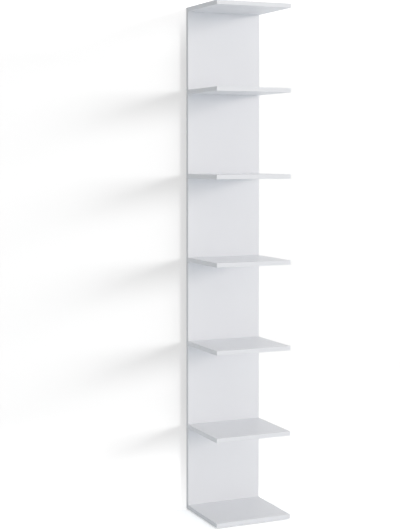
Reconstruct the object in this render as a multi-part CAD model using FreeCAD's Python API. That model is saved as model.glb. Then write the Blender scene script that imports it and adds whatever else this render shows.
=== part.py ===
"""Spine bookshelf: seven cantilevered shelf boards on one tall upright spine panel.

Every board is melamine-faced chipboard with ABS edge bands on the edges that stay in sight.
Each shelf is butted on the spine's front face, located by two glued dowels and pulled up by
three connecting screws, which are driven from behind through the spine. The unit stands on
four nail-in glides and is held to the wall by one steel angle on its top.

Millimetres. +Z is up, the open side faces -Y and the spine's back lies on the wall at +Y.
The origin is on the floor, under the middle of the footprint.
"""
import FreeCAD, Part
import math
import os

V = FreeCAD.Vector

# ---- driving sizes ----
unit_width = 300.0
spine_height = 1900.0
shelf_reach = 260.0          # from the spine's front face to the front edge
board_thickness = 16.0
shelf_count = 7

band_thickness = 1.0         # ABS edge band, front strip over the ends of the side strips
band_rounding = 0.8          # trimmed outer corners of the band

# ---- shelf joint ----
outer_screw_inset = 40.0     # outer connecting screws, in from the side of the unit
screw_length = 50.0
screw_head_radius = 5.0
screw_shoulder_radius = 3.5
screw_core_radius = 2.5
screw_point_length = 3.0
screw_point_radius = 1.5
screw_sink = 0.4             # the head lies this deep in the spine's back
screw_bottom_space = 3.0     # free depth of the pilot hole past the point
socket_width = 4.0           # hexagon key, across flats
socket_depth = 3.0

dowel_radius = 4.0
dowel_length = 30.0
dowel_chamfer = 1.0
dowel_wall = 6.0             # board left behind the dowel hole in the spine
glue_space = 1.0             # free depth at the dowel's end in the shelf

hole_play = 0.05             # radial play of screws, dowels and nails in their holes
seat_play = 0.05             # between a countersink and the screw head in it

# ---- glides ----
glide_radius = 7.0
glide_height = 4.0
glide_bevel = 1.5            # between the flat foot and the side
glide_side_inset = 25.0      # glide centre, in from the side of the unit
glide_front_inset = 30.0     # glide centre, behind the front edge
nail_cover = 1.5             # plastic under the moulded-in end of the nail
nail_radius = 0.9
nail_grip = 12.0             # length of the nail in the board
nail_point_length = 2.0

# ---- wall angle ----
angle_width = 40.0
angle_upright = 25.0
angle_tongue = 48.0          # leg that lies on the spine and the top shelf
angle_thickness = 2.0
angle_bend_radius = 1.5      # inside of the bend
angle_corner_radius = 5.0
wall_hole_radius = 2.75
wall_hole_height = 14.0      # above the top board
angle_screw_spacing = 22.0
angle_screw_inset = 14.0     # screw centre, in from the end of the tongue
angle_screw_radius = 2.0
angle_screw_core_radius = 1.5
angle_screw_point_length = 3.0
angle_screw_board_left = 3.0   # board left under the screw's point
angle_screw_bottom_space = 0.5
angle_hole_play = 0.25
pan_head_radius = 4.0
pan_head_height = 2.4
pan_head_bevel = 0.9

# ---- planes that the pieces share ----
x_side = unit_width / 2
y_wall = (shelf_reach + board_thickness) / 2
y_face = y_wall - board_thickness
y_front = y_face - shelf_reach
z_foot = glide_height
z_top = z_foot + spine_height
shelf_pitch = spine_height / (shelf_count - 1)

screw_line = x_side - outer_screw_inset
screw_columns = (-screw_line, 0.0, screw_line)
dowel_columns = (-screw_line / 2, screw_line / 2)
dowel_depth_in_spine = board_thickness - dowel_wall
screw_cone_length = screw_head_radius - screw_shoulder_radius   # 90 degree head


# ---- helpers ----
def block(low, high):
    """A box between two corners."""
    size = high - low
    return Part.makeBox(size.x, size.y, size.z, low)


def turned(outline, base, direction):
    """A solid of revolution. outline is (radius, distance along the axis) from tip to tail."""
    points = [V(radius, 0, along) for radius, along in outline]
    face = Part.Face(Part.makePolygon(points + points[:1]))
    solid = face.revolve(V(0, 0, 0), V(0, 0, 1), 360)
    solid.Placement = FreeCAD.Placement(base, FreeCAD.Rotation(V(0, 0, 1), direction))
    return solid


def rod(radius, base, direction, length):
    return Part.makeCylinder(radius, length, base, direction)


def rounded(solid, radius, chosen):
    """Rounds the straight edges whose middle point passes the test."""
    edges = [edge for edge in solid.Edges if chosen(edge.CenterOfMass)]
    return solid.makeFillet(radius, edges)


def near(a, b):
    return abs(a - b) < 1e-6


def save(name, *solids):
    shape = solids[0] if len(solids) == 1 else Part.makeCompound(list(solids))
    shape.exportStep("parts/" + name + ".step")


# ---- where each shelf lies ----
def shelf_underside(index):
    """Height of the underside. Shelf 0 and the last one end flush with the spine."""
    if index == 0:
        return z_foot
    if index == shelf_count - 1:
        return z_top - board_thickness
    return z_foot + index * shelf_pitch - board_thickness / 2


def shelf_middle(index):
    return shelf_underside(index) + board_thickness / 2


# ---- holes that a joint needs in its two boards ----
def screw_hole_in_spine(x, z):
    """Clearance hole with a 90 degree countersink, open at the spine's back."""
    mouth = screw_head_radius + screw_sink + seat_play
    throat = screw_shoulder_radius + hole_play
    outline = [
        (0, 0),
        (mouth, 0),
        (throat, mouth - throat),
        (throat, board_thickness),
        (0, board_thickness),
    ]
    return turned(outline, V(x, y_wall, z), V(0, -1, 0))


def screw_hole_in_shelf(x, z):
    """Pilot hole in the shelf's back edge."""
    past_face = screw_sink + screw_length - board_thickness
    depth = past_face + screw_bottom_space
    return rod(screw_core_radius + hole_play, V(x, y_face, z), V(0, -1, 0), depth)


def dowel_hole(x, z):
    """One bore for both boards, from the blind end in the spine to the one in the shelf."""
    length = dowel_length + glue_space
    start = V(x, y_face + dowel_depth_in_spine, z)
    return rod(dowel_radius + hole_play, start, V(0, -1, 0), length)


def nail_hole(x, y):
    return rod(nail_radius + hole_play, V(x, y, z_foot), V(0, 0, 1), nail_grip + hole_play)


def angle_screw_grip():
    """Length of the angle's screws in the top shelf."""
    return board_thickness - angle_screw_board_left


def angle_screw_spots():
    y = y_wall - angle_tongue + angle_screw_inset
    return [V(side * angle_screw_spacing / 2, y, z_top) for side in (-1, 1)]


# ---- boards ----
def spine_panel():
    """The core panel: banded on both long edges and on top, raw at the bottom."""
    low = V(-x_side + band_thickness, y_face, z_foot)
    high = V(x_side - band_thickness, y_wall, z_top - band_thickness)
    holes = [nail_hole(x, y) for x, y in glide_spots() if y > y_face]
    for index in range(shelf_count):
        z = shelf_middle(index)
        holes += [screw_hole_in_spine(x, z) for x in screw_columns]
        holes += [dowel_hole(x, z) for x in dowel_columns]
    return block(low, high).cut(holes)


def shelf_board(index):
    """The core board: banded on the front and both sides, raw where it meets the spine."""
    bottom = shelf_underside(index)
    low = V(-x_side + band_thickness, y_front + band_thickness, bottom)
    high = V(x_side - band_thickness, y_face, bottom + board_thickness)
    z = shelf_middle(index)
    holes = [screw_hole_in_shelf(x, z) for x in screw_columns]
    holes += [dowel_hole(x, z) for x in dowel_columns]
    if index == 0:
        holes += [nail_hole(x, y) for x, y in glide_spots() if y < y_face]
    if index == shelf_count - 1:
        depth = angle_screw_grip() + angle_screw_bottom_space
        radius = angle_screw_core_radius + hole_play
        holes += [rod(radius, spot, V(0, 0, -1), depth) for spot in angle_screw_spots()]
    return block(low, high).cut(holes)


# ---- edge bands ----
def band_radius():
    """The rounding stays inside the band's own wall."""
    return min(band_rounding, 0.9 * band_thickness)


def side_band(side, y_low, y_high, z_low, z_high, along):
    """A band on one side of a board, rounded along the two long edges of its outer face."""
    outer = side * x_side
    inner = outer - side * band_thickness
    strip = block(V(min(inner, outer), y_low, z_low), V(max(inner, outer), y_high, z_high))
    ends = (y_low, y_high) if along == "y" else (z_low, z_high)

    def long_outer_edge(middle):
        place = middle.y if along == "y" else middle.z
        return near(middle.x, outer) and not near(place, ends[0]) and not near(place, ends[1])

    return rounded(strip, band_radius(), long_outer_edge)


def shelf_side_band(index, side):
    bottom = shelf_underside(index)
    top = bottom + board_thickness
    return side_band(side, y_front + band_thickness, y_face, bottom, top, "y")


def shelf_front_band(index):
    """Covers the ends of the side bands, so all four edges of its face are rounded."""
    bottom = shelf_underside(index)
    low = V(-x_side, y_front, bottom)
    high = V(x_side, y_front + band_thickness, bottom + board_thickness)
    return rounded(block(low, high), band_radius(), lambda middle: near(middle.y, y_front))


def spine_side_band(side):
    return side_band(side, y_face, y_wall, z_foot, z_top - band_thickness, "z")


def spine_top_band():
    low = V(-x_side, y_face, z_top - band_thickness)
    high = V(x_side, y_wall, z_top)
    return rounded(block(low, high), band_radius(), lambda middle: near(middle.z, z_top))


# ---- shelf fasteners ----
def connecting_screw(x, z):
    """Countersunk one-piece connector with a plain shoulder, a hexagon socket and a blunt point."""
    shoulder_end = board_thickness - screw_sink
    outline = [
        (0, 0),
        (screw_head_radius, 0),
        (screw_shoulder_radius, screw_cone_length),
        (screw_shoulder_radius, shoulder_end),
        (screw_core_radius, shoulder_end),
        (screw_core_radius, screw_length - screw_point_length),
        (screw_point_radius, screw_length),
        (0, screw_length),
    ]
    base = V(x, y_wall - screw_sink, z)
    corner = socket_width / math.sqrt(3)
    turns = [math.radians(60 * step) for step in range(7)]
    hexagon = [V(x + corner * math.cos(a), base.y, z + corner * math.sin(a)) for a in turns]
    socket = Part.Face(Part.makePolygon(hexagon)).extrude(V(0, -socket_depth, 0))
    return turned(outline, base, V(0, -1, 0)).cut(socket)


def dowel(x, z):
    """Beech dowel with chamfered ends, seated at the bottom of its hole in the spine."""
    end_radius = dowel_radius - dowel_chamfer
    outline = [
        (0, 0),
        (end_radius, 0),
        (dowel_radius, dowel_chamfer),
        (dowel_radius, dowel_length - dowel_chamfer),
        (end_radius, dowel_length),
        (0, dowel_length),
    ]
    return turned(outline, V(x, y_face + dowel_depth_in_spine, z), V(0, -1, 0))


# ---- glides ----
def glide_spots():
    """Under both ends of the spine's bottom edge and near the front corners of the low shelf."""
    x = x_side - glide_side_inset
    rear = y_wall - board_thickness / 2
    front = y_front + glide_front_inset
    return [(-x, front), (x, front), (-x, rear), (x, rear)]


def glide(x, y):
    """Plastic button with a bevelled foot, moulded round the end of its nail."""
    hole = nail_radius + hole_play
    outline = [
        (0, 0),
        (glide_radius - glide_bevel, 0),
        (glide_radius, glide_bevel),
        (glide_radius, glide_height),
        (hole, glide_height),
        (hole, nail_cover),
        (0, nail_cover),
    ]
    return turned(outline, V(x, y, 0), V(0, 0, 1))


def glide_nail(x, y):
    """Steel nail, from inside the glide into the board above it."""
    point = z_foot + nail_grip
    outline = [
        (0, nail_cover),
        (nail_radius, nail_cover),
        (nail_radius, point - nail_point_length),
        (0, point),
    ]
    return turned(outline, V(x, y, 0), V(0, 0, 1))


# ---- wall angle ----
def wall_angle():
    """Bent steel angle: the tongue on the boards, the upright in the plane of the wall."""
    outer_radius = angle_bend_radius + angle_thickness
    low = V(-angle_width / 2, y_wall - angle_tongue, z_top)
    high = V(angle_width / 2, y_wall, z_top + angle_upright)
    inner_high = V(high.x, y_wall - angle_thickness, high.z)
    angle = block(low, high).cut(block(V(low.x, low.y, z_top + angle_thickness), inner_high))
    inner_corner = V(0, y_wall - angle_thickness, z_top + angle_thickness)

    def at_inner_bend(middle):
        return near(middle.y, inner_corner.y) and near(middle.z, inner_corner.z)

    angle = rounded(angle, angle_bend_radius, at_inner_bend)
    angle = rounded(angle, outer_radius, lambda middle: near(middle.y, y_wall) and near(middle.z, z_top))

    def at_free_corner(middle):
        on_side = near(abs(middle.x), angle_width / 2)
        tongue_end = near(middle.y, low.y) and near(middle.z, z_top + angle_thickness / 2)
        upright_end = near(middle.z, high.z) and near(middle.y, y_wall - angle_thickness / 2)
        return on_side and (tongue_end or upright_end)

    angle = rounded(angle, angle_corner_radius, at_free_corner)
    wall_spot = V(0, y_wall, z_top + wall_hole_height)
    holes = [rod(wall_hole_radius, wall_spot, V(0, -1, 0), angle_thickness)]
    radius = angle_screw_radius + angle_hole_play
    holes += [rod(radius, spot, V(0, 0, 1), angle_thickness) for spot in angle_screw_spots()]
    return angle.cut(holes)


def angle_screw(spot):
    """Pan-head wood screw through the tongue into the top shelf."""
    grip = angle_screw_grip()
    head_top = angle_thickness + pan_head_height
    outline = [
        (0, -grip),
        (angle_screw_core_radius, angle_screw_point_length - grip),
        (angle_screw_core_radius, 0),
        (angle_screw_radius, 0),
        (angle_screw_radius, angle_thickness),
        (pan_head_radius, angle_thickness),
        (pan_head_radius, head_top - pan_head_bevel),
        (pan_head_radius - pan_head_bevel, head_top),
        (0, head_top),
    ]
    return turned(outline, spot, V(0, 0, 1))


# ---- the parts ----
os.makedirs("parts", exist_ok=True)

save("spine_panel", spine_panel())
save("spine_band_left", spine_side_band(-1))
save("spine_band_right", spine_side_band(1))
save("spine_band_top", spine_top_band())

for index in range(shelf_count):
    name = "shelf_%d" % (index + 1)
    z = shelf_middle(index)
    save(name + "_board", shelf_board(index))
    save(name + "_band_front", shelf_front_band(index))
    save(name + "_band_left", shelf_side_band(index, -1))
    save(name + "_band_right", shelf_side_band(index, 1))
    save(name + "_screws", *[connecting_screw(x, z) for x in screw_columns])
    save(name + "_dowels", *[dowel(x, z) for x in dowel_columns])

for place, (x, y) in zip(("front_left", "front_right", "rear_left", "rear_right"), glide_spots()):
    save("glide_" + place, glide(x, y))
save("glide_nails", *[glide_nail(x, y) for x, y in glide_spots()])

save("wall_angle", wall_angle())
save("wall_angle_screws", *[angle_screw(spot) for spot in angle_screw_spots()])
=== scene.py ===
import math

import bmesh
import bpy
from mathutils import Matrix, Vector


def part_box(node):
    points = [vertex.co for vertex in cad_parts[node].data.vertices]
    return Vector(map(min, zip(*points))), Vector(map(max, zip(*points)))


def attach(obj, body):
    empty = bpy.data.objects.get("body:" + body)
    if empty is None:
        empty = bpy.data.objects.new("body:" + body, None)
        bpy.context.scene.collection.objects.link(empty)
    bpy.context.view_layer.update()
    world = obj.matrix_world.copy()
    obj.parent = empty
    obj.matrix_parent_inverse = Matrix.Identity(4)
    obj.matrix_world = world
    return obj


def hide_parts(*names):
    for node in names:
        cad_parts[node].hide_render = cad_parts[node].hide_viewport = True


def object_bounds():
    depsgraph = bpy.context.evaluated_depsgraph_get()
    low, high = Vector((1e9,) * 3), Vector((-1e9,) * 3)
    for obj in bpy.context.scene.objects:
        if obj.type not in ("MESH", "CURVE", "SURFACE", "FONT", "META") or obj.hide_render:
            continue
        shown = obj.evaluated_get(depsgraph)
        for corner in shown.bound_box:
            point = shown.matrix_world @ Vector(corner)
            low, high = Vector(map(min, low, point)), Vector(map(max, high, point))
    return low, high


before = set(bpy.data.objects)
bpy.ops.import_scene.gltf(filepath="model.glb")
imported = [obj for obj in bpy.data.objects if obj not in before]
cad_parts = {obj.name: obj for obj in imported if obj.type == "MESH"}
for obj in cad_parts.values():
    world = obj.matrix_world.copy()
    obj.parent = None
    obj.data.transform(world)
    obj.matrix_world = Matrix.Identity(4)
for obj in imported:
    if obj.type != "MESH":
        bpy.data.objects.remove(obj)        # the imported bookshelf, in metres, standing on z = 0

cad_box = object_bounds()


# ---------------------------------------------------------------------------------------
# The camera stands to the left of the bookshelf, on a tripod at about two thirds of its
# height. A short telephoto looks almost level, and its picture is shifted down a little.
camera_place = (-1.9916, -4.1428, 1.354)
camera_turn_right = math.radians(23.916)
camera_dip = math.radians(1.644)
camera_sensor_mm = 36
camera_lens_mm = 83.73
picture_shift = -0.143

camera_data = bpy.data.cameras.new("camera")
camera_data.sensor_width = camera_sensor_mm
camera_data.lens = camera_lens_mm
camera_data.shift_y = picture_shift
camera = bpy.data.objects.new("camera", camera_data)
camera.location = camera_place
camera.rotation_euler = (math.radians(90) - camera_dip, 0, -camera_turn_right)
bpy.context.scene.collection.objects.link(camera)
bpy.context.scene.camera = camera
bpy.context.scene.view_settings.view_transform = "Standard"


# ---------------------------------------------------------------------------------------
# The studio: a white room wall that the unit stands against, and a white floor. Both are
# flat matt paint. They are bright enough to read as plain white, and keep the shadows.
MM = 0.001
wall_gap = 0.5 * MM
stage_reach = 7.0
wall_paint = (0.303, 0.300, 0.298)
floor_paint = (0.905, 0.935, 0.955)
wall_glow = 0.504
floor_glow = 0.45
fade_glow = 0.40                   # what the wall glows more where its shadows have faded
fade_heights = {"low": (0.44, -0.20), "high": (1.68, 2.04)}      # whole here, and gone there


def put(tree, kind, inputs=None, **settings):
    """Adds a node. Each input is given a value or another node's output."""
    node = tree.nodes.new(kind)
    for name, value in settings.items():
        setattr(node, name, value)
    for socket, value in (inputs or {}).items():
        if isinstance(value, bpy.types.NodeSocket):
            tree.links.new(value, node.inputs[socket])
        else:
            node.inputs[socket].default_value = value
    return node


def maths(tree, operation, *values):
    """One Math node's result. Each value is a number or another node's output."""
    return put(tree, "ShaderNodeMath", dict(enumerate(values)), operation=operation).outputs[0]


def axes(tree, vector):
    """A vector's X, Y and Z, each an output of its own."""
    return put(tree, "ShaderNodeSeparateXYZ", {0: vector}).outputs


def new_material(name):
    material = bpy.data.materials.new(name)
    material.use_nodes = True
    material.node_tree.nodes.clear()
    return material, material.node_tree


def seen_directly(tree):
    """1 for what the camera sees itself or in a gloss or glass, else 0."""
    path = put(tree, "ShaderNodeLightPath")
    most = maths(tree, "MAXIMUM", path.outputs["Is Camera Ray"], path.outputs["Is Glossy Ray"])
    return maths(tree, "MAXIMUM", most, path.outputs["Is Transmission Ray"])


def glowing_paint(tree, colour, glow):
    """Matt paint that glows by itself where it is seen directly, and lights nothing."""
    paint = put(tree, "ShaderNodeBsdfDiffuse", {"Color": (*colour, 1)})
    strength = maths(tree, "MULTIPLY", glow, seen_directly(tree))
    light = put(tree, "ShaderNodeEmission", {"Strength": strength})
    return put(tree, "ShaderNodeAddShader", {0: paint.outputs[0], 1: light.outputs[0]}).outputs[0]


def stage_sheet(name, corners, material):
    mesh = bpy.data.meshes.new(name)
    mesh.from_pydata(corners, [], [(0, 1, 2, 3)])
    mesh.materials.append(material)
    sheet = bpy.data.objects.new(name, mesh)
    bpy.context.scene.collection.objects.link(sheet)
    return sheet


# The wall shows from its front alone, so that the unit can be looked at from behind.
wall_material, tree = new_material("wall_paint")
height = axes(tree, put(tree, "ShaderNodeTexCoord").outputs["Object"])["Z"]
glow = wall_glow
for whole, gone in fade_heights.values():
    faded = put(tree, "ShaderNodeMapRange",
                {"Value": height, "From Min": whole, "From Max": gone, "To Max": fade_glow},
                interpolation_type="SMOOTHSTEP")
    glow = maths(tree, "ADD", glow, faded.outputs[0])
front = glowing_paint(tree, wall_paint, glow)
behind = put(tree, "ShaderNodeBsdfTransparent").outputs[0]
back_seen = put(tree, "ShaderNodeNewGeometry").outputs["Backfacing"]
side = put(tree, "ShaderNodeMixShader", {0: back_seen, 1: front, 2: behind})
put(tree, "ShaderNodeOutputMaterial", {"Surface": side.outputs[0]})

wall_y = cad_box[1].y + wall_gap
room_wall = stage_sheet(
    "room_wall",
    [(-stage_reach, wall_y, 0), (stage_reach, wall_y, 0),
     (stage_reach, wall_y, stage_reach), (-stage_reach, wall_y, stage_reach)],
    wall_material)
room_wall.visible_diffuse = False
room_wall.visible_glossy = False
room_wall.visible_transmission = False
room_wall.visible_shadow = False

floor_material, tree = new_material("floor_paint")
put(tree, "ShaderNodeOutputMaterial", {"Surface": glowing_paint(tree, floor_paint, floor_glow)})
stage_sheet(
    "room_floor",
    [(-stage_reach, -stage_reach, 0), (stage_reach, -stage_reach, 0),
     (stage_reach, stage_reach, 0), (-stage_reach, stage_reach, 0)],
    floor_material)


# ---------------------------------------------------------------------------------------
# The light: a white room that is brighter at its sides, up at its ceiling, low down on the
# right and high up on the left. It has a soft window and two weak lamps. The wall has two
# wide window lamps of its own, which draw the long soft shadows of the shelves.
room_level = 0.434                         # the white all round
room_lean = (0.554, -0.289, -0.433)        # more to the right and the front, less up high
side_walls = 0.415                         # more at both sides
ceiling = 0.832                            # more overhead
low_right = 0.693                          # more low on the right and high on the left
lamps = {
    "window_light": {"level": 0.36, "from": (0.84, -0.465, 0.18), "width": 15,
                     "colour": (1.10, 1.0, 0.93), "wall": "EXCLUDE"},
    "front_lamp": {"level": 0.079, "from": (0.05, -1.0, 0.026), "width": 8},
    "back_lamp": {"level": 0.30, "from": (0.10, 1.0, 0.026), "width": 8},
    "wall_light_near": {"level": 1.253, "from": (0.839, -0.520, 0.163), "width": 18.1,
                        "colour": (0.989, 1.0, 1.006), "wall": "INCLUDE"},
    "wall_light_far": {"level": 1.503, "from": (0.976, -0.150, 0.160), "width": 21.7,
                       "colour": (0.989, 1.0, 1.006), "wall": "INCLUDE"},
}


def vectors(tree, operation, *values, result="Vector"):
    """One Vector Math node's result."""
    node = put(tree, "ShaderNodeVectorMath", dict(enumerate(values)), operation=operation)
    return node.outputs[result]


world = bpy.data.worlds.new("studio_room")
world.use_nodes = True
world.node_tree.nodes.clear()
tree = world.node_tree
direction = put(tree, "ShaderNodeTexCoord").outputs["Generated"]
lean = vectors(tree, "DOT_PRODUCT", direction, room_lean, result="Value")
squares = vectors(tree, "MULTIPLY", direction, direction)
panels = vectors(tree, "DOT_PRODUCT", squares, (side_walls, 0.0, ceiling), result="Value")
ways = axes(tree, direction)
crossed = maths(tree, "MULTIPLY", maths(tree, "MULTIPLY", ways["X"], ways["Z"]), -low_right)
plain_room = maths(tree, "ADD", maths(tree, "ADD", lean, room_level), panels)
lit = maths(tree, "ADD", plain_room, crossed)
strength = put(tree, "ShaderNodeMapRange", {"Value": seen_directly(tree), "To Min": lit, "To Max": 1.0})
room = put(tree, "ShaderNodeBackground", {"Color": (1, 1, 1, 1), "Strength": strength.outputs[0]})
put(tree, "ShaderNodeOutputWorld", {"Surface": room.outputs[0]})
bpy.context.scene.world = world

for name, settings in lamps.items():
    lamp = bpy.data.lights.new(name, "SUN")
    lamp.energy = settings["level"] * math.pi      # pi lights a white face to a level of 1
    lamp.angle = math.radians(settings["width"])
    lamp.color = settings.get("colour", (1, 1, 1))
    light = bpy.data.objects.new(name, lamp)
    light.rotation_euler = Vector(settings["from"]).to_track_quat("Z", "Y").to_euler()
    bpy.context.scene.collection.objects.link(light)
    if "wall" in settings:         # the lamp lights the wall alone, or all but the wall
        for_wall = bpy.data.collections.new(name + "_wall")
        for_wall.objects.link(room_wall)
        for_wall.collection_objects[0].light_linking.link_state = settings["wall"]
        light.light_linking.receiver_collection = for_wall


# ---------------------------------------------------------------------------------------
# The spine: one tall 16 mm board of chipboard with white melamine paper pressed on both
# faces. It is cut to size, its edges are banded, and 21 countersunk holes go through it.
decor_white = (0.780, 0.796, 0.827, 1)
paper_cloud_size = 160 * MM
paper_speck_size = 2.6 * MM
paper_flatness = 0.9               # the cosine of the lean up to which a face is papered
paper_specular = 0.45
pearl_gloss = 0.22
chip_light = (0.50, 0.36, 0.21, 1)
chip_dark = (0.24, 0.15, 0.075, 1)
chips_per_metre = 420.0
chip_stretch = (1.0, 2.4, 2.4)
chip_relief = 0.25 * MM
chip_roughness = 0.9
glue_grey = (0.50, 0.49, 0.46, 1)
glue_width = 0.16 * MM
glue_waver = 1.6
glue_waver_size = 3 * MM
glue_strength = 0.5
mark_stretch = (18.0, 1400.0, 1.0)
mark_turn = 0.5                    # radians
mark_thinness = (0.62, 0.70)
mark_patch_size = 90 * MM
mark_patches = (0.45, 0.70)
mark_polish = -0.16
core_half_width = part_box("spine_panel")[1].x
spine_core_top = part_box("spine_panel")[1].z
nowhere = 9.0                      # a seam or a limit that a piece doesn't have lies so far off


def new_group(name, inputs, outputs):
    """A shader node group with named inputs and outputs, and its input and output nodes."""
    group = bpy.data.node_groups.new(name, "ShaderNodeTree")
    kinds = {"float": "NodeSocketFloat", "vector": "NodeSocketVector", "colour": "NodeSocketColor"}
    for label, kind, value in inputs:
        socket = group.interface.new_socket(label, in_out="INPUT", socket_type=kinds[kind])
        socket.default_value = value
    for label, kind in outputs:
        group.interface.new_socket(label, in_out="OUTPUT", socket_type=kinds[kind])
    return group, group.nodes.new("NodeGroupInput").outputs, group.nodes.new("NodeGroupOutput").inputs


def use(tree, group, inputs=None):
    """The outputs of a shader group placed in a material."""
    return put(tree, "ShaderNodeGroup", inputs, node_tree=group).outputs


def blend(tree, share, first, second, kind="RGBA"):
    """first where share is 0 and second where it is 1."""
    mix = put(tree, "ShaderNodeMix", {"Factor": share, "A": first, "B": second}, data_type=kind)
    return mix.outputs["Result"]


def object_place(tree, stretch=(1, 1, 1)):
    """Object coordinates, each times its stretch."""
    return vectors(tree, "MULTIPLY", put(tree, "ShaderNodeTexCoord").outputs["Object"], stretch)


def noise(tree, size, detail=2.0, stretch=(1, 1, 1)):
    """Noise on object coordinates, in blobs of about size metres."""
    scale = maths(tree, "DIVIDE", 1.0, size)
    blobs = put(tree, "ShaderNodeTexNoise",
                {"Vector": object_place(tree, stretch), "Scale": scale, "Detail": detail})
    return blobs.outputs["Fac"]


def streaks(tree, stretched, detail):
    """Noise drawn out into lines, because its coordinates are stretched unevenly."""
    lines = put(tree, "ShaderNodeTexNoise", {"Vector": stretched, "Scale": 1.0, "Detail": detail})
    return lines.outputs["Fac"]


def around(tree, middle, spread, value):
    """middle, give or take spread, as a noise value goes from 0 to 1."""
    swing = maths(tree, "MULTIPLY", maths(tree, "SUBTRACT", value, 0.5), spread)
    return maths(tree, "ADD", middle, swing)


def ramp(tree, value, start, end):
    """0 where value is at start or before it, up to 1 where it is at end or past it."""
    return put(tree, "ShaderNodeMapRange", {"Value": value, "From Min": start, "From Max": end}).outputs[0]


def shaded(tree, colour, gain):
    """A colour, lighter or darker by gain."""
    return put(tree, "ShaderNodeVectorMath", {0: colour, "Scale": gain}, operation="SCALE").outputs[0]


def relief(tree, height, depth):
    """The surface's normal, where height from 0 to 1 stands for depth metres."""
    return put(tree, "ShaderNodeBump", {"Distance": depth, "Height": height}).outputs[0]


def surface(tree, inputs):
    """Ends a material in one Principled shader with these inputs."""
    shader = put(tree, "ShaderNodeBsdfPrincipled", inputs)
    put(tree, "ShaderNodeOutputMaterial", {"Surface": shader.outputs[0]})


# The pressed paper: a fine pearl from the press plate, and a faint cloudiness.
melamine_skin, given, result = new_group(
    "melamine_skin",
    [("Colour", "colour", decor_white), ("Cloud", "float", 0.03), ("Pearl size", "float", 1.3 * MM),
     ("Relief", "float", 0.03 * MM), ("Roughness", "float", 0.42)],
    [("Colour", "colour"), ("Roughness", "float"), ("Normal", "vector")])
pearl = noise(melamine_skin, given["Pearl size"])
cloud = noise(melamine_skin, paper_cloud_size)
speck = noise(melamine_skin, paper_speck_size, detail=3.0)
gain = around(melamine_skin, around(melamine_skin, 1.0, given["Cloud"], cloud), given["Cloud"], speck)
gloss = around(melamine_skin, given["Roughness"], pearl_gloss, pearl)
melamine_skin.links.new(shaded(melamine_skin, given["Colour"], gain), result["Colour"])
melamine_skin.links.new(gloss, result["Roughness"])
melamine_skin.links.new(relief(melamine_skin, pearl, given["Relief"]), result["Normal"])

# Raw chipboard, where neither paper nor band covers it: pale chips, darker gaps.
chip_core, given, result = new_group(
    "chip_core", [("Light chip", "colour", chip_light), ("Dark chip", "colour", chip_dark)],
    [("Colour", "colour"), ("Height", "float")])
chips = put(chip_core, "ShaderNodeTexVoronoi",
            {"Vector": object_place(chip_core, chip_stretch), "Scale": chips_per_metre})
tone = put(chip_core, "ShaderNodeSeparateColor", {0: chips.outputs["Color"]}).outputs[0]
chip_core.links.new(blend(chip_core, tone, given["Dark chip"], given["Light chip"]), result["Colour"])
chip_core.links.new(chips.outputs["Distance"], result["Height"])

# The hair-thin line of hot-melt glue between a board and its edge bands.
glue_line, given, result = new_group(
    "glue_line",
    [("Half width", "float", core_half_width), ("Front", "float", nowhere), ("Top", "float", nowhere),
     ("Line width", "float", glue_width)],
    [("Mask", "float")])
place = axes(glue_line, object_place(glue_line))
side_gap = maths(glue_line, "SUBTRACT", given["Half width"], maths(glue_line, "ABSOLUTE", place["X"]))
front_gap = maths(glue_line, "ADD", given["Front"], place["Y"])
top_gap = maths(glue_line, "SUBTRACT", given["Top"], place["Z"])
nearest = maths(glue_line, "MINIMUM", maths(glue_line, "MINIMUM", side_gap, front_gap), top_gap)
waver = around(glue_line, 1.0, glue_waver, noise(glue_line, glue_waver_size))
ragged = maths(glue_line, "MULTIPLY", given["Line width"], waver)
glue_line.links.new(maths(glue_line, "LESS_THAN", nearest, ragged), result["Mask"])

# Hairline marks in patches, from dusting and from things slid about, all in one direction.
hairlines, given, result = new_group(
    "hairlines", [("Direction", "vector", mark_stretch), ("Amount", "float", 0.5)], [("Mask", "float")])
turned = put(hairlines, "ShaderNodeVectorRotate",
             {"Vector": object_place(hairlines), "Axis": (0, 0, 1), "Angle": mark_turn}).outputs[0]
strands = streaks(hairlines, vectors(hairlines, "MULTIPLY", turned, given["Direction"]), detail=2.0)
thin = ramp(hairlines, strands, *mark_thinness)
patches = ramp(hairlines, noise(hairlines, mark_patch_size), *mark_patches)
patchy = maths(hairlines, "MULTIPLY", thin, patches)
hairlines.links.new(maths(hairlines, "MULTIPLY", patchy, given["Amount"]), result["Mask"])


def board_material(name, face_axis, roughness, front, top, marks):
    """White melamine on a board's two faces, raw chipboard where the core is cut."""
    material, tree = new_material(name)
    skin = use(tree, melamine_skin, {"Roughness": roughness})
    core = use(tree, chip_core)
    seam = use(tree, glue_line, {"Front": front, "Top": top})
    rubbed = use(tree, hairlines, {"Amount": marks})
    facing = axes(tree, put(tree, "ShaderNodeNewGeometry").outputs["True Normal"])[face_axis]
    papered = maths(tree, "GREATER_THAN", maths(tree, "ABSOLUTE", facing), paper_flatness)
    glued = maths(tree, "MULTIPLY", seam["Mask"], glue_strength)
    paper = blend(tree, glued, skin["Colour"], glue_grey)
    polished = maths(tree, "MULTIPLY_ADD", rubbed["Mask"], mark_polish, skin["Roughness"])
    torn = relief(tree, core["Height"], chip_relief)
    surface(tree, {"Base Color": blend(tree, papered, core["Colour"], paper),
                   "Roughness": blend(tree, papered, chip_roughness, polished, "FLOAT"),
                   "Normal": blend(tree, papered, torn, skin["Normal"], "VECTOR"),
                   "Specular IOR Level": paper_specular})
    return material


def finish_node(name, material):
    """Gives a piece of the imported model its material."""
    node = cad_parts[name]
    node.data.materials.clear()
    node.data.materials.append(material)


spine_melamine = board_material("spine_melamine", "Y", 0.40, nowhere, spine_core_top, 0.3)
finish_node("spine_panel", spine_melamine)


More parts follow.
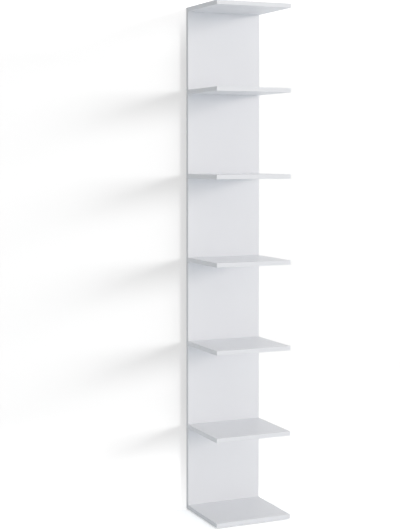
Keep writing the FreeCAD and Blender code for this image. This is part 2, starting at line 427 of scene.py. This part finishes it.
# ---------------------------------------------------------------------------------------
# The spine's edge bands: 1 mm white ABS strip, glued on by the edge bander, trimmed flush
# and scraped to a small round. The two long ones run under the one across the top.
band_white = (0.750, 0.769, 0.800, 1)
# The spine's two upright bands get a greyer copy of the band white. This is painted shade, for the shade
# that falls beside the wall.
band_white_painted_shade = (0.670, 0.688, 0.716, 1)
worn_white = (0.69, 0.70, 0.72, 1)
band_specular = 0.5
scraped_across = 2600.0            # the scraper's lines in a metre across the strip
scraped_along = 9.0                # and how often they change in a metre along it
lines_tone = 0.02
lines_gloss = 0.25
strip_tone = 0.03
strip_tone_size = 240 * MM
round_edge = (0.985, 0.80)         # cosines of the turn where the round begins, and is full
handled_patches = (0.42, 0.62)
handled_amount = 0.45
handled_dullness = 0.2

# The strip: the scraper's fine lines along it, and a tone that drifts a little.
scraped_strip, given, result = new_group(
    "scraped_strip",
    [("Colour", "colour", band_white), ("Lines", "vector", (scraped_across, scraped_across, scraped_along)),
     ("Relief", "float", 0.012 * MM), ("Roughness", "float", 0.34)],
    [("Colour", "colour"), ("Roughness", "float"), ("Normal", "vector")])
lines = streaks(scraped_strip, object_place(scraped_strip, given["Lines"]), detail=3.0)
lined = around(scraped_strip, 1.0, lines_tone, lines)
gain = around(scraped_strip, lined, strip_tone, noise(scraped_strip, strip_tone_size))
gloss = around(scraped_strip, given["Roughness"], lines_gloss, lines)
scraped_strip.links.new(shaded(scraped_strip, given["Colour"], gain), result["Colour"])
scraped_strip.links.new(gloss, result["Roughness"])
scraped_strip.links.new(relief(scraped_strip, lines, given["Relief"]), result["Normal"])

# Wear where a rounded edge turns from one flat face to the next, and gets handled most.
worn_edge, given, result = new_group(
    "worn_edge", [("Amount", "float", 0.5), ("Patch size", "float", 22 * MM)], [("Mask", "float")])
normal = put(worn_edge, "ShaderNodeNewGeometry").outputs["True Normal"]
turn = axes(worn_edge, vectors(worn_edge, "ABSOLUTE", normal))
flattest = maths(worn_edge, "MAXIMUM", maths(worn_edge, "MAXIMUM", turn["X"], turn["Y"]), turn["Z"])
rounded = ramp(worn_edge, flattest, *round_edge)
rubbed = ramp(worn_edge, noise(worn_edge, given["Patch size"], detail=4.0), *handled_patches)
handled = maths(worn_edge, "MULTIPLY", rounded, rubbed)
worn_edge.links.new(maths(worn_edge, "MULTIPLY", handled, given["Amount"]), result["Mask"])


def band_material(name, length_axis, seam_front=nowhere, colour=band_white):
    """ABS edge band: scraped along its length, its round edges a little rubbed."""
    material, tree = new_material(name)
    lines = [scraped_along if axis == length_axis else scraped_across for axis in "XYZ"]
    strip = use(tree, scraped_strip, {"Lines": lines, "Colour": colour})
    wear = use(tree, worn_edge, {"Amount": handled_amount})
    seam = use(tree, glue_line, {"Half width": nowhere, "Front": seam_front})
    rubbed = blend(tree, wear["Mask"], strip["Colour"], worn_white)
    glued = maths(tree, "MULTIPLY", seam["Mask"], glue_strength)
    dulled = maths(tree, "MULTIPLY_ADD", wear["Mask"], handled_dullness, strip["Roughness"])
    surface(tree, {"Base Color": blend(tree, glued, rubbed, glue_grey), "Roughness": dulled,
                   "Normal": strip["Normal"], "Specular IOR Level": band_specular})
    return material


# The spine's upright bands take the greyer white: painted shade, not a different strip.
band_upright_painted_shade = band_material("band_upright_painted_shade", "Z", colour=band_white_painted_shade)
band_across = band_material("band_across", "X")
finish_node("spine_band_left", band_upright_painted_shade)
finish_node("spine_band_right", band_upright_painted_shade)
finish_node("spine_band_top", band_across)


# ---------------------------------------------------------------------------------------
# The seven shelves: 16 mm melamine boards 260 mm deep, drilled in the back edge for dowels
# and screws, and butted against the spine. The front edge and both ends are banded.
shelf_numbers = range(1, 8)
shelf_core_front = -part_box("shelf_1_board")[0].y

shelf_melamine = board_material("shelf_melamine", "Z", 0.38, shelf_core_front, nowhere, 1.0)
band_deep = band_material("band_deep", "Y", shelf_core_front)
for number in shelf_numbers:
    finish_node(f"shelf_{number}_board", shelf_melamine)
    finish_node(f"shelf_{number}_band_front", band_across)
    finish_node(f"shelf_{number}_band_left", band_deep)
    finish_node(f"shelf_{number}_band_right", band_deep)


# ---------------------------------------------------------------------------------------
# The dowels: two 8 x 30 mm fluted beech pegs glued into each shelf's back edge. They keep
# the shelf from turning; their flutes let the glue and air out of the blind hole.
dowel_radius = 4 * MM
dowel_flutes = 20
dowel_flute_depth = 0.25 * MM
dowel_chamfer = 1 * MM
dowel_gap = 110 * MM
dowel_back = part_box("shelf_1_dowels")[1].y
dowel_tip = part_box("shelf_1_dowels")[0].y
shelf_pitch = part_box("shelf_3_board")[0].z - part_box("shelf_2_board")[0].z
lowest_middle = (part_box("shelf_1_board")[0].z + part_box("shelf_1_board")[1].z) / 2
highest_middle = (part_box("shelf_7_board")[0].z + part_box("shelf_7_board")[1].z) / 2
first_row = (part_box("shelf_2_board")[0].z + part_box("shelf_2_board")[1].z) / 2 - shelf_pitch
beech_light = (0.60, 0.41, 0.24, 1)
beech_dark = (0.43, 0.27, 0.14, 1)
beech_roughness = (0.62, 0.20)     # its middle, and how far it swings
fibre_size = 0.5 * MM
fibre_stretch = (1.0, 0.06, 1.0)
fibre_relief = 0.06 * MM
fleck_size = 1.1 * MM
fleck_stretch = (1.0, 0.25, 1.0)
fleck_edges = (0.60, 0.68)
fleck_strength = 0.5


def ring(shape, depth, along, count):
    """count points around an axis. shape is a radius, or gives one for an angle."""
    points = []
    for step in range(count):
        angle = math.tau * step / count
        radius = shape(angle) if callable(shape) else shape
        points.append(along(radius * math.cos(angle), radius * math.sin(angle), depth))
    return points


def into_the_shelf(u, v, depth):
    """A point on something driven in from behind, depth in front of its rear end."""
    return Vector((u, -depth, v))


def lofted(name, profile, along, count, sharp_over=35):
    """A closed solid of rings from one pole to the other. profile is (shape, depth) pairs."""
    solid = bmesh.new()
    rings = [[solid.verts.new(point) for point in ring(shape, depth, along, 1 if shape == 0 else count)]
             for shape, depth in profile]
    for one, other in zip(rings, rings[1:]):
        for step in range(count):
            after = (step + 1) % count
            corners = [one[step % len(one)], one[after % len(one)],
                       other[after % len(other)], other[step % len(other)]]
            solid.faces.new(list(dict.fromkeys(corners)))
    bmesh.ops.recalc_face_normals(solid, faces=solid.faces)
    mesh = bpy.data.meshes.new(name)
    solid.to_mesh(mesh)
    solid.free()
    mesh.polygons.foreach_set("use_smooth", [True] * len(mesh.polygons))
    mesh.set_sharp_from_angle(angle=math.radians(sharp_over))
    return mesh


def show(name, mesh):
    thing = bpy.data.objects.new(name, mesh)
    bpy.context.scene.collection.objects.link(thing)
    return thing


def new_tree(name, inputs):
    """A Geometry Nodes tree with named inputs, and its input and output nodes."""
    tree = bpy.data.node_groups.new(name, "GeometryNodeTree")
    tree.interface.new_socket("Geometry", in_out="INPUT", socket_type="NodeSocketGeometry")
    for label, kind in inputs:
        tree.interface.new_socket(label, in_out="INPUT", socket_type="NodeSocket" + kind)
    tree.interface.new_socket("Geometry", in_out="OUTPUT", socket_type="NodeSocketGeometry")
    return tree, tree.nodes.new("NodeGroupInput").outputs, tree.nodes.new("NodeGroupOutput").inputs[0]


def grown(name, tree, values, start=None):
    """Runs a Geometry Nodes tree once and keeps the result as a plain mesh."""
    bed = show(name + "_bed", start or bpy.data.meshes.new(name + "_bed"))
    modifier = bed.modifiers.new(tree.name, "NODES")
    modifier.node_group = tree
    for item in tree.interface.items_tree:
        if item.in_out == "INPUT" and item.name in values:
            modifier[item.identifier] = values[item.name]
    evaluated = bed.evaluated_get(bpy.context.evaluated_depsgraph_get())
    mesh = bpy.data.meshes.new_from_object(evaluated)
    mesh.name = name
    bpy.data.objects.remove(bed)
    return mesh


# Rows of one part: across the unit, and on from row to row, held between two heights, so
# that the end rows stay at the middles of the bottom and top shelf.
rows_of_parts, given, result = new_tree("rows_of_parts", [
    ("Part", "Object"), ("Finish", "Material"), ("Across", "Int"), ("Gap", "Vector"), ("Rows", "Int"),
    ("First", "Vector"), ("Step", "Vector"), ("Lowest", "Float"), ("Highest", "Float")])
rows = put(rows_of_parts, "GeometryNodeMeshLine",
           {"Count": given["Rows"], "Start Location": given["First"], "Offset": given["Step"]},
           mode="OFFSET")
at = axes(rows_of_parts, put(rows_of_parts, "GeometryNodeInputPosition").outputs[0])
height = put(rows_of_parts, "ShaderNodeClamp",
             {"Value": at["Z"], "Min": given["Lowest"], "Max": given["Highest"]})
held = put(rows_of_parts, "ShaderNodeCombineXYZ", {"X": at["X"], "Y": at["Y"], "Z": height.outputs[0]})
rows = put(rows_of_parts, "GeometryNodeSetPosition",
           {"Geometry": rows.outputs[0], "Position": held.outputs[0]})
row = put(rows_of_parts, "GeometryNodeMeshLine",
          {"Count": given["Across"], "Offset": given["Gap"]}, mode="OFFSET")
spots = put(rows_of_parts, "GeometryNodeInstanceOnPoints",
            {"Points": rows.outputs[0], "Instance": row.outputs[0]})
spots = put(rows_of_parts, "GeometryNodeRealizeInstances", {0: spots.outputs[0]})
part = put(rows_of_parts, "GeometryNodeObjectInfo", {"Object": given["Part"]}, transform_space="ORIGINAL")
parts = put(rows_of_parts, "GeometryNodeInstanceOnPoints",
            {"Points": spots.outputs[0], "Instance": part.outputs["Geometry"]})
parts = put(rows_of_parts, "GeometryNodeRealizeInstances", {0: parts.outputs[0]})
parts = put(rows_of_parts, "GeometryNodeSetMaterial",
            {"Geometry": parts.outputs[0], "Material": given["Finish"]})
rows_of_parts.links.new(parts.outputs[0], result)


def repeated(name, part_mesh, material, slot, nodes, **places):
    """One piece made of a part repeated in rows. It stands for those nodes."""
    part = show(name + "_part", part_mesh)
    values = {"Part": part, "Finish": material, "Lowest": -nowhere, "Highest": nowhere, **places}
    piece = show(name, grown(name, rows_of_parts, values))
    bpy.data.objects.remove(part)
    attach(piece, "root")
    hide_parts(*nodes)


beech, tree = new_material("beech")
fibre = noise(tree, fibre_size, 3.0, fibre_stretch)
fleck = ramp(tree, noise(tree, fleck_size, 1.0, fleck_stretch), *fleck_edges)
wood = blend(tree, fibre, beech_light, beech_dark)
flecked = blend(tree, maths(tree, "MULTIPLY", fleck, fleck_strength), wood, beech_dark)
surface(tree, {"Base Color": flecked, "Roughness": around(tree, *beech_roughness, fibre),
               "Normal": relief(tree, fibre, fibre_relief)})


def fluted(angle):
    """The dowel's radius at an angle."""
    return dowel_radius - dowel_flute_depth * (0.5 - 0.5 * math.cos(dowel_flutes * angle))


dowel_length = dowel_back - dowel_tip
dowel_end_radius = dowel_radius - dowel_chamfer
dowel_part = lofted("dowel_part", [
    (0, 0), (dowel_end_radius, 0), (fluted, dowel_chamfer), (fluted, dowel_length - dowel_chamfer),
    (dowel_end_radius, dowel_length), (0, dowel_length)],
    into_the_shelf, count=2 * dowel_flutes, sharp_over=20)
shelf_rows = {"Rows": len(shelf_numbers), "Step": (0, 0, shelf_pitch),
              "Lowest": lowest_middle, "Highest": highest_middle}
repeated("dowels", dowel_part, beech, "dowel_wood",
         [f"shelf_{number}_dowels" for number in shelf_numbers],
         Across=2, Gap=(dowel_gap, 0, 0), First=(-dowel_gap / 2, dowel_back, first_row), **shelf_rows)


# ---------------------------------------------------------------------------------------
# The connecting screws: 7 x 50 mm one-piece screws of zinc-plated steel with a flat
# countersunk head and a 4 mm hexagon socket. Three pull each shelf against the spine.
screw_head_radius = 5 * MM
screw_head_bevel = 0.25 * MM
screw_head_rim = 0.2 * MM
screw_shoulder_radius = 3.5 * MM
screw_shoulder_taper = 0.5 * MM
screw_core_radius = 2.5 * MM
screw_tip_radius = 1.5 * MM
screw_point = 3 * MM
socket_across_flats = 4 * MM
socket_depth = 3 * MM
socket_drill_point = 0.5 * MM
socket_bevel = 0.25 * MM
screw_gap = 110 * MM
screw_pitch = 3.2 * MM
screw_ridge = 0.75 * MM
screw_ridge_lift = 0.1 * MM
thread_run_in = 1.2 * MM
thread_run_out = 0.3 * MM
screw_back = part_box("shelf_1_screws")[1].y
screw_length = screw_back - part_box("shelf_1_screws")[0].y
shoulder_end = screw_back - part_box("spine_panel")[0].y
zinc = (0.50, 0.51, 0.53, 1)
zinc_dull = (0.27, 0.28, 0.30, 1)
zinc_roughness = (0.34, 0.25)
zinc_cloud_size = 2.2 * MM
zinc_grain_size = 0.35 * MM
zinc_grain_relief = 0.01 * MM


def flat_sided(across_flats):
    """A hexagon's radius at an angle."""
    return lambda angle: across_flats / 2 / math.cos(angle % (math.pi / 3) - math.pi / 6)


# A thread: a three-cornered ridge wound round a shank, on the solid that comes in.
wound_thread, given, result = new_tree("wound_thread", [
    ("Radius", "Float"), ("Ridge", "Float"), ("Turns", "Float"), ("Length", "Float"), ("Start", "Vector"),
    ("Turn to", "Vector"), ("Steps", "Int"), ("Finish", "Material")])
coil = put(wound_thread, "GeometryNodeCurveSpiral",
           {"Resolution": given["Steps"], "Rotations": given["Turns"], "Start Radius": given["Radius"],
            "End Radius": given["Radius"], "Height": given["Length"]})
outline = put(wound_thread, "GeometryNodeCurvePrimitiveCircle", {"Resolution": 3, "Radius": given["Ridge"]})
ridge = put(wound_thread, "GeometryNodeCurveToMesh",
            {"Curve": coil.outputs[0], "Profile Curve": outline.outputs[0], "Fill Caps": True})
ridge = put(wound_thread, "GeometryNodeTransform",
            {"Geometry": ridge.outputs[0], "Translation": given["Start"], "Rotation": given["Turn to"]})
both = put(wound_thread, "GeometryNodeJoinGeometry")
wound_thread.links.new(ridge.outputs[0], both.inputs[0])
wound_thread.links.new(given["Geometry"], both.inputs[0])
both = put(wound_thread, "GeometryNodeRealizeInstances", {0: both.outputs[0]})
both = put(wound_thread, "GeometryNodeSetMaterial",
           {"Geometry": both.outputs[0], "Material": given["Finish"]})
wound_thread.links.new(both.outputs[0], result)

# Bright zinc plating: almost even, a little cloudy, and brighter where it is rubbed.
zinc_plate, tree = new_material("zinc_plate")
clouds = noise(tree, zinc_cloud_size, detail=3.0)
wear = use(tree, worn_edge, {"Amount": 0.6, "Patch size": 3 * MM})
clouded = blend(tree, clouds, zinc, zinc_dull)
surface(tree, {"Base Color": blend(tree, wear["Mask"], clouded, zinc), "Metallic": 1.0,
               "Roughness": around(tree, *zinc_roughness, clouds),
               "Normal": relief(tree, noise(tree, zinc_grain_size), zinc_grain_relief)})

hexagon = flat_sided(socket_across_flats)
hexagon_mouth = flat_sided(socket_across_flats + 2 * socket_bevel)
head_cone_end = screw_head_rim + screw_head_radius - screw_shoulder_radius
screw_shank = lofted("screw_shank", [
    (0, socket_depth + socket_drill_point), (hexagon, socket_depth), (hexagon, socket_bevel),
    (hexagon_mouth, 0), (screw_head_radius - screw_head_bevel, 0), (screw_head_radius, screw_head_rim),
    (screw_shoulder_radius, head_cone_end), (screw_shoulder_radius, shoulder_end - screw_shoulder_taper),
    (screw_core_radius, shoulder_end), (screw_core_radius, screw_length - screw_point),
    (screw_tip_radius, screw_length), (0, screw_length)], into_the_shelf, count=24)
thread_length = screw_length - screw_point - shoulder_end - thread_run_in - thread_run_out
screw_part = grown("screw_part", wound_thread, {
    "Radius": screw_core_radius + screw_ridge_lift, "Ridge": screw_ridge,
    "Turns": thread_length / screw_pitch, "Length": thread_length,
    "Start": (0, -shoulder_end - thread_run_in, 0), "Turn to": (math.radians(90), 0, 0),
    "Steps": 18, "Finish": zinc_plate}, screw_shank)
repeated("connecting_screws", screw_part, zinc_plate, "screw_steel",
         [f"shelf_{number}_screws" for number in shelf_numbers],
         Across=3, Gap=(screw_gap, 0, 0), First=(-screw_gap, screw_back, first_row), **shelf_rows)


# ---------------------------------------------------------------------------------------
# The glides: four round nail-in feet of white polyethylene, 14 mm across and 4 mm high,
# under the bottom shelf and the spine. A steel nail through each holds it in the board.
glide_radius = 7 * MM
glide_height = 4 * MM
glide_round = 1.5 * MM
glide_edge = 0.3 * MM
glide_recess_radius = 2.3 * MM
glide_recess_depth = 1.5 * MM
glide_gap = 250 * MM
glide_front = (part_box("glide_front_left")[0].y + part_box("glide_front_left")[1].y) / 2
glide_back = (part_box("glide_rear_left")[0].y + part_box("glide_rear_left")[1].y) / 2
nail_radius = 0.9 * MM
nail_head_radius = 1.9 * MM
nail_head_bottom = 0.9 * MM
nail_head_bevel = 0.3 * MM
nail_head_rim = 1.15 * MM
nail_neck = 0.05 * MM
nail_point = 2 * MM
nail_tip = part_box("glide_nails")[1].z
glide_white = (0.66, 0.67, 0.66, 1)
glide_grime = (0.30, 0.29, 0.27, 1)
glide_roughness = (0.48, 0.20)
grime_height = 1.2 * MM
grime_size = 2.5 * MM
grime_patches = (0.4, 0.7)
grime_amount = 0.6
moulded_size = 0.4 * MM
moulded_relief = 0.02 * MM


def upright(u, v, height):
    """A point on something that stands on the floor."""
    return Vector((u, v, height))


polyethylene, tree = new_material("polyethylene")
near_floor = ramp(tree, axes(tree, object_place(tree))["Z"], grime_height, 0.0)
patches = ramp(tree, noise(tree, grime_size, detail=4.0), *grime_patches)
grime = maths(tree, "MULTIPLY", maths(tree, "MULTIPLY", near_floor, patches), grime_amount)
moulded = noise(tree, moulded_size)
surface(tree, {"Base Color": blend(tree, grime, glide_white, glide_grime),
               "Roughness": around(tree, *glide_roughness, moulded),
               "Subsurface Weight": 0.15, "Subsurface Scale": 1 * MM,
               "Normal": relief(tree, moulded, moulded_relief)})

flank = [(glide_radius - glide_round * (1 - math.sin(math.radians(turn))),
          glide_round * (1 - math.cos(math.radians(turn)))) for turn in (0, 22.5, 45, 67.5, 90)]
glide_part = lofted("glide_part", [
    (0, glide_recess_depth), (glide_recess_radius, glide_recess_depth), (glide_recess_radius, glide_edge),
    (glide_recess_radius + glide_edge, 0), *flank, (glide_radius, glide_height - glide_edge),
    (glide_radius - glide_edge, glide_height), (0, glide_height)], upright, count=36, sharp_over=40)
under_the_unit = {"Across": 2, "Gap": (glide_gap, 0, 0), "Rows": 2,
                  "First": (-glide_gap / 2, glide_front, 0), "Step": (0, glide_back - glide_front, 0)}
repeated("glides", glide_part, polyethylene, "glide_plastic",
         ["glide_front_left", "glide_front_right", "glide_rear_left", "glide_rear_right"], **under_the_unit)

nail_part = lofted("nail_part", [
    (0, nail_head_bottom), (nail_head_radius - nail_head_bevel, nail_head_bottom),
    (nail_head_radius, nail_head_rim), (nail_head_radius, glide_recess_depth),
    (nail_radius, glide_recess_depth + nail_neck), (nail_radius, nail_tip - nail_point),
    (0, nail_tip)], upright, count=20)
repeated("glide_nails_steel", nail_part, zinc_plate, "screw_steel", ["glide_nails"], **under_the_unit)


# ---------------------------------------------------------------------------------------
# The wall angle: a tongue of 2 mm steel bent up at the back, powder coated white. It is
# screwed to the top shelf, and a screw through its upright leg ties the unit to the wall.
angle_edge_round = 0.35 * MM
corner_join = 0.004 * MM           # corners nearer than this are one
coat_white = (0.80, 0.805, 0.815)
coat_worn = (0.55, 0.555, 0.56, 1)
coat_roughness = (0.36, 0.20)
coat_cloud = (1.0, 0.04)
coat_cloud_size = 9 * MM
coat_peel_size = 1.6 * MM
coat_peel_relief = 0.12 * MM

powder_coat, tree = new_material("powder_coat")
peel = noise(tree, coat_peel_size, detail=1.0)
wear = use(tree, worn_edge, {"Amount": 0.5, "Patch size": 6 * MM})
coat = shaded(tree, coat_white, around(tree, *coat_cloud, noise(tree, coat_cloud_size)))
surface(tree, {"Base Color": blend(tree, wear["Mask"], coat, coat_worn),
               "Roughness": around(tree, *coat_roughness, peel),
               "Normal": relief(tree, peel, coat_peel_relief)})

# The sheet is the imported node's own, its triangles joined and its edges rounded.
sheet = bmesh.new()
sheet.from_mesh(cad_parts["wall_angle"].data)
bmesh.ops.remove_doubles(sheet, verts=sheet.verts, dist=corner_join)
bmesh.ops.dissolve_limit(sheet, angle_limit=math.radians(0.5), verts=sheet.verts, edges=sheet.edges)
angle_mesh = bpy.data.meshes.new("wall_angle_sheet")
sheet.to_mesh(angle_mesh)
sheet.free()
angle_mesh.materials.append(powder_coat)
raw_angle = show("wall_angle_raw", angle_mesh)
edge_round = raw_angle.modifiers.new("edges", "BEVEL")
edge_round.width = angle_edge_round
edge_round.segments = 3
edge_round.limit_method = "ANGLE"
edge_round.angle_limit = math.radians(50)
rounded_angle = raw_angle.evaluated_get(bpy.context.evaluated_depsgraph_get())
coated = bpy.data.meshes.new_from_object(rounded_angle)
bpy.data.objects.remove(raw_angle)
coated.polygons.foreach_set("use_smooth", [True] * len(coated.polygons))
coated.set_sharp_from_angle(angle=math.radians(30))
coated_angle = show("coated_wall_angle", coated)
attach(coated_angle, "root")
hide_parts("wall_angle")


# ---------------------------------------------------------------------------------------
# The wall angle's screws: two 4 x 15 mm pan-head wood screws, zinc plated, with a cross
# recess. They go down through the tongue into the top shelf.
pan_radius = 4 * MM
pan_height = 2.4 * MM
pan_edge = 0.15 * MM
pan_round = [(2.7 * MM, 0), (3.35 * MM, 0.22 * MM), (3.8 * MM, 0.75 * MM), (pan_radius, 1.5 * MM)]
pan_gap = 22 * MM
pan_y = (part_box("wall_angle_screws")[0].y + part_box("wall_angle_screws")[1].y) / 2
pan_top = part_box("wall_angle_screws")[1].z
pan_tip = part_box("wall_angle_screws")[0].z
pan_length = pan_top - pan_tip
pan_point = 3 * MM
pan_core_radius = 1.45 * MM
pan_ridge = 0.5 * MM
pan_pitch = 1.8 * MM
pan_thread_above_tip = 4 * MM
pan_thread_below_head = 2.5 * MM
cross_arm = 2.1 * MM
cross_half_width = 0.45 * MM
cross_arm_taper = 0.45
cross_width_taper = 0.8
cross_lip = 0.03 * MM
cross_depth = 1.5 * MM
cross_point = 0.2 * MM


def cross_shaped(arm, half_width):
    """A cross recess's radius at an angle."""
    def radius(angle):
        off = abs((angle + math.pi / 4) % (math.pi / 2) - math.pi / 4)
        return arm / math.cos(off) if math.tan(off) <= half_width / arm else half_width / math.sin(off)
    return radius


def downward(u, v, depth):
    """A point on something driven in from above, depth under the top of its head."""
    return Vector((u, v, pan_top - depth))


cross_top = cross_shaped(cross_arm, cross_half_width)
cross_deep = cross_shaped(cross_arm * cross_arm_taper, cross_half_width * cross_width_taper)
pan_shank = lofted("pan_shank", [
    (0, cross_depth + cross_point), (cross_deep, cross_depth), (cross_top, cross_lip), *pan_round,
    (pan_radius, pan_height - pan_edge), (pan_radius - pan_edge, pan_height),
    (pan_core_radius, pan_height), (pan_core_radius, pan_length - pan_point),
    (0, pan_length)], downward, count=48)
pan_thread = pan_length - pan_height - pan_thread_above_tip - pan_thread_below_head
pan_part = grown("pan_part", wound_thread, {
    "Radius": pan_core_radius, "Ridge": pan_ridge, "Turns": pan_thread / pan_pitch, "Length": pan_thread,
    "Start": (0, 0, pan_tip + pan_thread_above_tip), "Turn to": (0, 0, 0),
    "Steps": 14, "Finish": zinc_plate}, pan_shank)
repeated("pan_head_screws", pan_part, zinc_plate, "screw_steel", ["wall_angle_screws"],
         Across=2, Gap=(pan_gap, 0, 0), Rows=1, First=(-pan_gap / 2, pan_y, 0), Step=(0, 0, 0))
